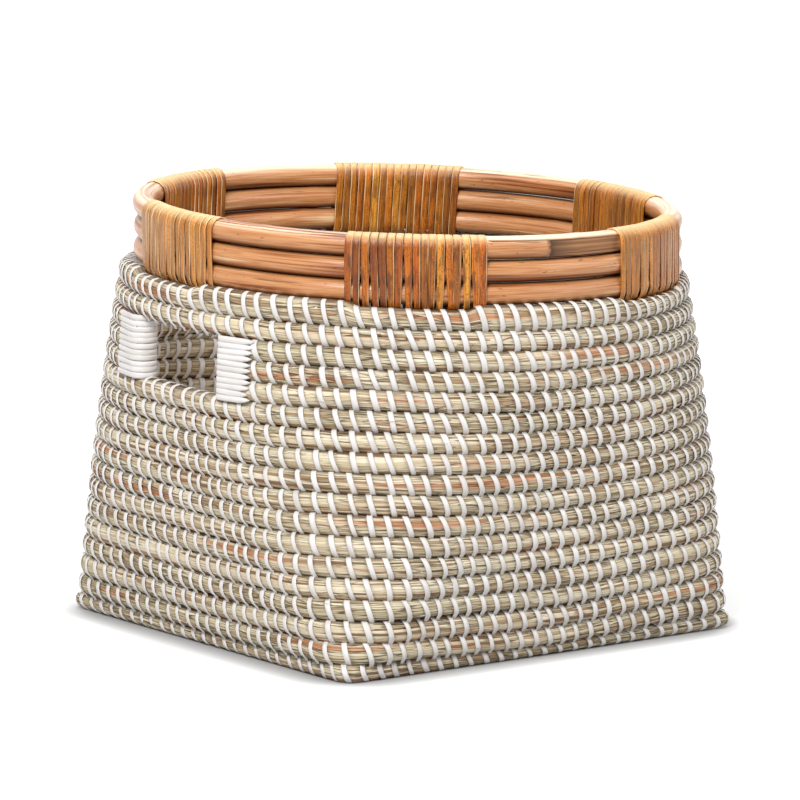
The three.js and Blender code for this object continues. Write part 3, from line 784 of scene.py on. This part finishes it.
class Nodes:
    """Short calls for building a node tree."""

    def __init__(self, tree):
        self.tree = tree

    def add(self, kind, **values):
        node = self.tree.nodes.new(kind)
        for key, value in values.items():
            setattr(node, key, value)
        return node

    def link(self, output, socket):
        self.tree.links.new(output, socket)

    def fill(self, sockets, values):
        """Gives sockets, in their order, their values or what they are linked to."""
        for socket, value in zip(sockets, values):
            if isinstance(value, bpy.types.NodeSocket):
                self.link(value, socket)
            elif value is not None:
                socket.default_value = value

    def math(self, operation, first, second=None):
        node = self.add("ShaderNodeMath", operation=operation)
        self.fill(node.inputs, (first, second))
        return node.outputs[0]

    def times(self, first, second):
        return self.math("MULTIPLY", first, second)

    def most(self, first, second):
        return self.math("MAXIMUM", first, second)

    def flip(self, mask):
        return self.math("SUBTRACT", 1.0, mask)

    def parts(self, value, kind="XYZ"):
        node = self.add("ShaderNodeSeparate" + kind)
        self.link(value, node.inputs[0])
        return node.outputs

    def vector(self, operation, first, second=None):
        node = self.add("ShaderNodeVectorMath", operation=operation)
        self.fill(node.inputs, (first, second))
        return node.outputs["Value" if operation == "LENGTH" else "Vector"]

    def laid(self, colour, mask, strength, shade):
        """The colour with a screen colour laid over it, as strongly as the mask says."""
        return self.mix(self.times(mask, strength), colour, linear(*shade))

    def mix(self, share, first, second, blend="MIX"):
        node = self.add("ShaderNodeMix", data_type="RGBA", blend_type=blend)
        self.fill((node.inputs[0], node.inputs[6], node.inputs[7]), (share, first, second))
        return node.outputs[2]

    def ramp(self, value, stops, read=linear):
        """A colour for a value. Each stop is its place and its colour as seen on screen."""
        node = self.add("ShaderNodeValToRGB")
        self.link(value, node.inputs[0])
        elements = node.color_ramp.elements
        while len(elements) < len(stops):
            elements.new(0.5)
        for element, (position, *colour) in zip(elements, stops):
            element.position = position
            element.color = read(*colour)
        return node.outputs[0]

    def tinted(self, colour, value, stops):
        """A colour times the factors that a value gives."""
        return self.mix(1.0, colour, self.ramp(value, stops, factors), "MULTIPLY")

    def mask(self, value, low, high):
        """0 below the low value and 1 above the high one."""
        node = self.add("ShaderNodeMapRange")
        self.fill(node.inputs, (value, low, high, 0.0, 1.0))
        return node.outputs[0]

    def grain(self, surface, along, across, shift, detail, rough):
        """Lengthwise grain, finer for larger numbers along and across the piece."""
        node = self.add("ShaderNodeGroup", node_tree=GRAIN)
        self.fill(node.inputs, (surface, (along, across, 1), (shift, shift, shift), detail, rough))
        return node.outputs[0]

    def cells(self, vector, feature):
        node = self.add("ShaderNodeTexVoronoi", voronoi_dimensions="2D", feature=feature)
        self.fill(node.inputs, (vector, None, 1))
        return node.outputs

    def stretched(self, vector, shift, scale):
        node = self.add("ShaderNodeMapping")
        self.fill(node.inputs, (vector, shift, None, scale))
        return node.outputs[0]

    def nudged(self, vector, amount):
        """The vector with a value added to its second part."""
        offset = self.add("ShaderNodeCombineXYZ")
        self.link(amount, offset.inputs[1])
        return self.vector("ADD", vector, offset.outputs[0])

    def cover(self, shader, colour, height, distance, strength):
        """Gives a shader its colour, and a relief of so much height."""
        self.link(colour, shader.inputs["Base Color"])
        node = self.add("ShaderNodeBump")
        node.inputs["Distance"].default_value = distance
        node.inputs["Strength"].default_value = strength
        self.link(height, node.inputs["Height"])
        self.link(node.outputs[0], shader.inputs["Normal"])


def grain_group():
    """Noise drawn out along a piece, which grass, cane, peel and plastic strip all show."""
    tree = bpy.data.node_groups.new("lengthwise_grain", "ShaderNodeTree")
    for name, kind in (("Surface", "Vector"), ("Fineness", "Vector"), ("Shift", "Vector"),
                       ("Detail", "Float"), ("Roughness", "Float")):
        tree.interface.new_socket(name, in_out="INPUT", socket_type="NodeSocket" + kind)
    tree.interface.new_socket("Grain", in_out="OUTPUT", socket_type="NodeSocketFloat")
    nodes = Nodes(tree)
    given = nodes.add("NodeGroupInput").outputs
    drawn_out = nodes.stretched(given["Surface"], given["Shift"], given["Fineness"])
    noise = nodes.add("ShaderNodeTexNoise", noise_dimensions="3D")
    nodes.fill(noise.inputs, (drawn_out, None, 1, given["Detail"], given["Roughness"]))
    nodes.link(noise.outputs[0], nodes.add("NodeGroupOutput").inputs["Grain"])
    return tree


GRAIN = grain_group()


def new_material(name, roughness, specular=0.5):
    material = bpy.data.materials.new(name)
    material.use_nodes = True
    nodes = Nodes(material.node_tree)
    shader = material.node_tree.nodes["Principled BSDF"]
    shader.inputs["Roughness"].default_value = roughness
    shader.inputs["Specular IOR Level"].default_value = specular
    return material, nodes, shader


def surface_uv(nodes):
    return nodes.add("ShaderNodeTexCoord").outputs["UV"]


def surface_light_and_marks(nodes):
    return nodes.parts(nodes.add("ShaderNodeUVMap", uv_map="marks").outputs[0])[:2]


def seagrass_material():
    """Dried blades laid side by side, each of its own tone, with dark gaps between them, and
    painted shade in the crevices between bundles and beside the stitches.
    """
    material, nodes, shader = new_material("dried_seagrass", 0.6, 0.35)
    uv = surface_uv(nodes)
    crevice_shade, sewn = surface_light_and_marks(nodes)
    sway = nodes.grain(uv, 16, 60, 5, 2, 0.5)
    uv_sway = nodes.nudged(uv, nodes.times(nodes.math("SUBTRACT", sway, 0.5), 0.0045))
    blade_uv = nodes.stretched(uv_sway, (3, 3, 3), (22, 720, 1))
    blade, ridge = nodes.parts(nodes.cells(blade_uv, "F1")["Color"], "Color")[:2]
    seam = nodes.cells(blade_uv, "DISTANCE_TO_EDGE")[0]
    fibre = nodes.grain(uv_sway, 28, 1500, 23, 3, 0.6)
    crack = nodes.grain(uv_sway, 26, 620, 41, 2, 0.6)
    rust = nodes.grain(uv, 6, 120, 57, 1.5, 0.5)
    damp = nodes.grain(uv, 3.0, 60, 71, 1.5, 0.5)
    colour = nodes.ramp(blade, (
        (0.0, 164, 134, 102), (0.16, 220, 201, 166), (0.36, 248, 235, 207), (0.55, 220, 206, 172),
        (0.72, 253, 242, 218), (0.86, 210, 178, 140), (0.95, 138, 106, 78)))
    colour = nodes.laid(colour, nodes.mask(damp, 0.48, 0.64), 0.4, (194, 184, 142))
    colour = nodes.laid(colour, nodes.mask(rust, 0.60, 0.67), 0.7, (204, 126, 76))
    colour = nodes.tinted(colour, fibre, (
        (0.33, 0.42, 0.36, 0.29), (0.42, 0.92, 0.92, 0.92), (0.62, 1.0, 1.0, 1.0)))
    gap = nodes.flip(nodes.mask(seam, 0.02, 0.11))
    split = nodes.flip(nodes.mask(crack, 0.33, 0.38))
    dark = nodes.most(nodes.times(gap, nodes.mask(damp, 0.36, 0.56)), split)
    colour = nodes.laid(colour, dark, 0.85, (66, 46, 28))
    # Painted shade: darker where the bundle lies against its neighbours and under the stitches.
    shade = nodes.most(nodes.times(crevice_shade, 0.75), nodes.times(nodes.mask(sewn, 0.12, 0.6), 0.3))
    colour = nodes.mix(shade, colour, linear(70, 48, 30))
    height = nodes.math("ADD", nodes.times(fibre, 0.7), ridge)
    height = nodes.math("SUBTRACT", height, nodes.times(dark, 1.2))
    nodes.cover(shader, colour, height, 0.6 * MM, 0.7)
    return material


def strip_material():
    """White plastic strip with faint lines along it."""
    material, nodes, shader = new_material("white_strip", 0.38)
    uv = surface_uv(nodes)
    tone = nodes.grain(uv, 22, 60, 0, 2, 0.5)
    line = nodes.grain(uv, 12, 1600, 7, 2, 0.5)
    colour = nodes.ramp(tone, (
        (0.3, 224, 217, 212), (0.5, 240, 236, 233), (0.7, 245, 242, 241)))
    colour = nodes.tinted(colour, line, ((0.3, 0.88, 0.87, 0.86), (0.55, 1.0, 1.0, 1.0)))
    nodes.cover(shader, colour, line, 0.15 * MM, 0.5)
    return material


def pole_material():
    """Peeled cane: golden tan with pale and brown streaks and dark flecks, grey where a lap is
    cut, with painted shade on the poles' undersides and in the seams between them, and a painted
    highlight on the open top of the top pole."""
    material, nodes, shader = new_material("peeled_cane_pole", 0.3)
    uv = surface_uv(nodes)
    seam, cut = surface_light_and_marks(nodes)
    patch = nodes.grain(uv, 5, 70, 0, 2, 0.5)
    streak = nodes.grain(uv, 7, 420, 13, 3, 0.6)
    grain = nodes.grain(uv, 50, 1800, 19, 2, 0.6)
    speck = nodes.grain(uv, 130, 420, 29, 2, 0.6)
    scar = nodes.grain(uv, 12, 240, 37, 3, 0.65)
    tone = nodes.math("ADD", nodes.times(patch, 0.55), nodes.times(streak, 0.45))
    colour = nodes.ramp(tone, (
        (0.38, 120, 60, 24), (0.44, 186, 116, 66), (0.50, 218, 158, 106), (0.55, 196, 126, 74),
        (0.62, 242, 202, 154)))
    colour = nodes.laid(colour, nodes.mask(grain, 0.58, 0.70), 0.4, (130, 72, 36))
    # Painted highlight on the open top of the top pole.
    pale = nodes.times(nodes.mask(seam, -0.05, -0.9), nodes.mask(tone, 0.40, 0.52))
    colour = nodes.laid(colour, pale, 0.85, (252, 232, 204))
    dark = nodes.flip(nodes.mask(speck, 0.27, 0.34))
    dark = nodes.most(dark, nodes.mask(scar, 0.63, 0.70))
    # Flecks and scars are the cane's own; the seam share adds painted shade on the undersides and
    # between the poles.
    dark = nodes.most(nodes.times(dark, 0.65), nodes.times(nodes.mask(seam, 0.1, 0.9), 0.92))
    colour = nodes.mix(dark, colour, linear(72, 30, 8))
    wood = nodes.ramp(streak, ((0.40, 78, 48, 28), (0.49, 150, 104, 68), (0.64, 192, 140, 96)))
    wood = nodes.mix(nodes.mask(seam, 0.28, 0.46), wood, linear(70, 52, 38))
    colour = nodes.mix(cut, colour, wood)
    rough = nodes.math("ADD", nodes.times(cut, 0.4), 0.3)
    nodes.link(rough, shader.inputs["Roughness"])
    height = nodes.math("ADD", streak, nodes.times(grain, 0.4))
    height = nodes.math("SUBTRACT", height, nodes.times(dark, 0.5))
    nodes.cover(shader, colour, height, 0.3 * MM, 0.7)
    return material


def peel_material():
    """Cane peel: every loop of a wrap has its own tone, with pale edges, dark stains and flecks,
    and a painted highlight on the top bend of each loop. Some wraps are paler than others."""
    material, nodes, shader = new_material("cane_peel_strip", 0.3, 0.4)
    uv = surface_uv(nodes)
    rise, fresh = surface_light_and_marks(nodes)
    along, across = nodes.parts(uv)[:2]
    loop = nodes.add("ShaderNodeTexWhiteNoise", noise_dimensions="1D")
    nodes.link(nodes.math("FLOOR", along), loop.inputs["W"])
    patch = nodes.grain(uv, 5.5, 1.2, 0, 2, 0.55)
    streak = nodes.grain(uv, 2.4, 9, 13, 4, 0.65)
    fleck = nodes.grain(uv, 90, 6, 29, 3, 0.7)
    stain = nodes.grain(uv, 8, 1.3, 47, 3, 0.65)
    colour = nodes.ramp(loop.outputs[0], (
        (0.0, 112, 54, 10), (0.15, 194, 104, 18), (0.35, 134, 70, 14), (0.5, 214, 130, 26),
        (0.65, 152, 90, 26), (0.8, 198, 112, 22), (1.0, 224, 156, 58)))
    colour = nodes.laid(colour, fresh, 0.55, (238, 180, 90))
    colour = nodes.tinted(colour, streak, (
        (0.37, 0.38, 0.27, 0.16), (0.47, 0.88, 0.83, 0.74), (0.60, 1.36, 1.27, 1.10)))
    dark = nodes.flip(nodes.mask(fleck, 0.41, 0.46))
    dark = nodes.times(dark, nodes.mask(patch, 0.36, 0.54))
    stained = nodes.times(nodes.mask(stain, 0.50, 0.58), nodes.flip(nodes.mask(rise, 0.80, 0.95)))
    stained = nodes.times(stained, nodes.flip(fresh))
    dark = nodes.most(nodes.times(dark, 0.8), nodes.times(stained, 0.65))
    colour = nodes.mix(dark, colour, linear(78, 36, 10))
    # Painted highlight along the top bend of each loop.
    colour = nodes.laid(colour, nodes.mask(rise, 0.86, 1.0), 0.8, (250, 214, 156))
    edge = nodes.times(nodes.mask(across, 0.30, 0.40), nodes.mask(streak, 0.47, 0.56))
    colour = nodes.laid(colour, edge, 0.85, (252, 222, 174))
    height = nodes.math("ADD", streak, nodes.times(fleck, 0.4))
    nodes.cover(shader, colour, height, 0.35 * MM, 0.7)
    return material


MATERIALS = {"seagrass": seagrass_material(), "white_strip": strip_material(),
             "cane_pole": pole_material(), "cane_strip": peel_material()}


# The basket

def stitch_turns(first, last):
    step = 1 / STITCHES_PER_TURN
    return np.arange(math.ceil(first / step), math.floor(last / step) + 1) * step


def base_stitch_turns(turns):
    """Stitches of the base at the pitch of the wall's, and in line with them on its last turn."""
    length = lengths_along(base_route(turns)[0])
    inner = np.interp(np.arange(0.5, length[-1] / STITCH_PITCH) * STITCH_PITCH, length, turns)
    last = BASE_TURNS - 1 + CLIMB_SHARE
    return np.concatenate([inner[inner < last], stitch_turns(last, turns[-1])])


def make_coils():
    base = coil_turns(BASE_TURNS, BASE_PITCH, BUNDLE_WIDTH, BASE_STEPS)
    base_sewn = base_stitch_turns(base)
    split_bundle("base_bundle", base_route, base, base_sewn, "base_coil", 1)
    sew("base_stitches", [(base_route, base_sewn)], 0)
    coils = (("lower_wall", WALL_FIRST, LOWER_TURNS, 4, None, None),
             ("upper_wall", UPPER_FIRST, UPPER_TURNS, 1, BUNDLE_PRESS, STITCH_PRESS))
    for name, first_course, count, parts, bundle_press, stitch_press in coils:
        turns = coil_turns(count, COURSE_PITCH, BUNDLE_HEIGHT, WALL_STEPS)
        route = wall_route(first_course, count)
        sewn = stitch_turns(turns[0], turns[-1])[1:-1]
        split_bundle(name + "_bundle", route, turns, sewn, name + "_coil", parts, bundle_press)
        sew(name + "_stitches", [(route, sewn)], press=stitch_press)


def row_ends(course, side, distance):
    """Turns of a row at a distance back from its slots."""
    outline = bundle_outline(course)
    return (turn_at(*outline, side, SLOT_END + distance),
            turn_at(*outline, side + 2, SLOT_START - distance))


def make_rows():
    jobs = []
    for step, height in enumerate(("lower", "middle", "upper")):
        course = ROW_FIRST + step
        route = row_route(course)
        for place, side in (("front", 1), ("back", 3)):
            first, last = row_ends(course, side, ROW_SET_BACK)
            turns = np.linspace(first, last, round((last - first) * WALL_STEPS) + 1)
            sewn = stitch_turns(*row_ends(course, side, BINDING_REACH + 1 * MM))
            name = f"handle_row_{place}_{height}"
            seagrass_bundle(name + "_bundle", route, turns, sewn, [name])
            jobs.append((route, sewn))
    sew("handle_row_stitches", jobs)


def make_bindings():
    places = (("left_front", 1, SLOT_END, 1), ("left_back", 1, SLOT_START, -1),
              ("right_front", 3, SLOT_START, -1), ("right_back", 3, SLOT_END, 1))
    for place, side, edge, away in places:
        bind_slot_edge("handle_binding_" + place, side, edge, away)


def make_strays():
    """Broad blades and thin whiskers: how many, how far off the bundles, how far their tips
    reach out, and their widths and lengths in millimetres."""
    past_tail = 0.3
    lower = (wall_route(WALL_FIRST, LOWER_TURNS), past_tail, LOWER_TURNS)
    upper = (wall_route(UPPER_FIRST, UPPER_TURNS), past_tail, UPPER_TURNS)
    rows = [(row_route(course), *row_ends(course, side, BINDING_REACH))
            for course, side in ((ROW_FIRST, 1), (ROW_FIRST, 3), (ROW_FIRST + 1, 1))]
    routes = [lower] * 11 + [upper] * 2 + rows
    kinds = (("stray_blades", 1900, 0.05, 0.0, (0.7, 1.7), (9, 30)),
             ("whiskers", 330, 0.15, 3.0, (0.25, 0.45), (6, 17)))
    for kind in kinds:
        stray_blades(routes, *kind)


def make_rim():
    hidden = LAP_ANGLE / 2 + WRAP_TURN
    poles = (("lower", hidden + math.pi, 0), ("middle", hidden + math.pi / 3, 0),
             ("upper", LAP_END, OPEN_LAP))
    for step, (height, lap_end, open_angle) in enumerate(poles):
        middle = LOWEST_POLE + step * POLE_PITCH
        cane_pole("rim_pole_" + height, middle, lap_end, open_angle)
    places = (("right", 0.3, 0), ("back_right", 0.2, 0), ("back_left", 0.1, 0), ("left", 0.65, 0),
              ("front_left", 0.0, -0.4), ("front_right", 0.45, 1.2))
    for step, (place, fresh, off) in enumerate(places):
        middle = WRAP_TURN + step * 2 * math.pi / WRAP_COUNT + math.radians(off)
        cane_wrap("rim_wrap_" + place, middle, fresh)


# Floor, lights and camera

FLOOR_SIZE = 12
FLOOR_TONE = 0.46
# Width of the painted shadow round the foot.
PAINTED_FOOT_SHADOW = 22 * MM
WORLD_LIGHT = 0.36

# Each lamp's name, place, width and power. They all face one point.
LAMP_TARGET = (0, 0, 0.15)
LAMPS = (("key", (-1.9, -1.3, 2.1), 1.2, 69), ("fill", (1.6, -2.1, 1.3), 1.6, 17),
         ("top", (0.2, 0.3, 2.6), 1.4, 36))


def seen_plainly(nodes):
    """1 for rays from the camera and for those that a glossy or clear surface passes on."""
    seen = nodes.add("ShaderNodeLightPath")
    plain = nodes.most(seen.outputs["Is Camera Ray"], seen.outputs["Is Glossy Ray"])
    return nodes.most(plain, seen.outputs["Is Transmission Ray"])


def make_floor():
    """A pale floor made white by a glow that the camera sees; the glow fades out close round the
    square foot, a painted shadow there on top of the lamps' own shading.
    """
    deselect()
    bpy.ops.mesh.primitive_plane_add(size=FLOOR_SIZE)
    floor = bpy.context.object
    floor.name = "floor"
    material, nodes, shader = new_material("pale_floor", 0.9, 0.0)
    shader.inputs["Base Color"].default_value = grey(FLOOR_TONE)
    away = nodes.vector("SUBTRACT", nodes.add("ShaderNodeTexCoord").outputs["Object"],
                        (*FOOT_MIDDLE[:2], 0))
    corner = 3 * FOOT_CORNER_RADIUS
    straight = FOOT_HALF_WIDTH - corner
    away = nodes.vector("SUBTRACT", nodes.vector("ABSOLUTE", away), (straight, straight, 0))
    away = nodes.vector("LENGTH", nodes.vector("MAXIMUM", away, (0, 0, 0)))
    # Painted shadow: no glow at the foot, rising to full glow across this band.
    near = nodes.mask(away, corner - 4 * MM, corner + PAINTED_FOOT_SHADOW)
    near = nodes.times(nodes.math("POWER", near, 1.6), 0.6)
    far = nodes.times(nodes.mask(away, 0.2, 1.4), 0.6)
    glow = nodes.add("ShaderNodeEmission")
    nodes.link(nodes.times(seen_plainly(nodes), nodes.math("ADD", near, far)),
               glow.inputs["Strength"])
    add = nodes.add("ShaderNodeAddShader")
    nodes.fill(add.inputs, (shader.outputs[0], glow.outputs[0]))
    nodes.link(add.outputs[0], material.node_tree.nodes["Material Output"].inputs["Surface"])
    floor.data.materials.append(material)


def placed(name, data, place, target):
    """A lamp or camera at its place in the scene, facing its target."""
    thing = bpy.data.objects.new(name, data)
    bpy.context.collection.objects.link(thing)
    thing.location = place
    direction = Vector(target) - Vector(place)
    thing.rotation_euler = direction.to_track_quat("-Z", "Y").to_euler()
    return thing


def make_light():
    for name, place, size, power in LAMPS:
        data = bpy.data.lights.new(name, "AREA")
        data.shape = "DISK"
        data.size = size
        data.energy = power
        placed(name, data, place, LAMP_TARGET)
    world = bpy.data.worlds.new("studio")
    bpy.context.scene.world = world
    world.use_nodes = True
    world.node_tree.nodes.clear()
    nodes = Nodes(world.node_tree)
    light = nodes.add("ShaderNodeBackground")
    nodes.fill(light.inputs, (grey(1.0), WORLD_LIGHT))
    white = nodes.add("ShaderNodeBackground")
    nodes.fill(white.inputs, (grey(1.0), 1.0))
    mix = nodes.add("ShaderNodeMixShader")
    nodes.fill(mix.inputs, (seen_plainly(nodes), light.outputs[0], white.outputs[0]))
    nodes.link(mix.outputs[0], nodes.add("ShaderNodeOutputWorld").inputs["Surface"])


def make_camera():
    data = bpy.data.cameras.new("camera")
    data.lens = CAMERA_LENS
    data.sensor_width = CAMERA_FILM
    flat = math.cos(CAMERA_ELEVATION) * CAMERA_DISTANCE
    target = Vector((*FOOT_MIDDLE[:2], CAMERA_TARGET))
    offset = Vector((math.sin(CAMERA_AZIMUTH) * flat, -math.cos(CAMERA_AZIMUTH) * flat,
                     math.sin(CAMERA_ELEVATION) * CAMERA_DISTANCE))
    bpy.context.scene.camera = placed("camera", data, target + offset, target)


make_camera()
make_coils()
make_rows()
make_bindings()
make_strays()
make_rim()
make_floor()
make_light()
bpy.context.scene.view_settings.view_transform = "Standard"
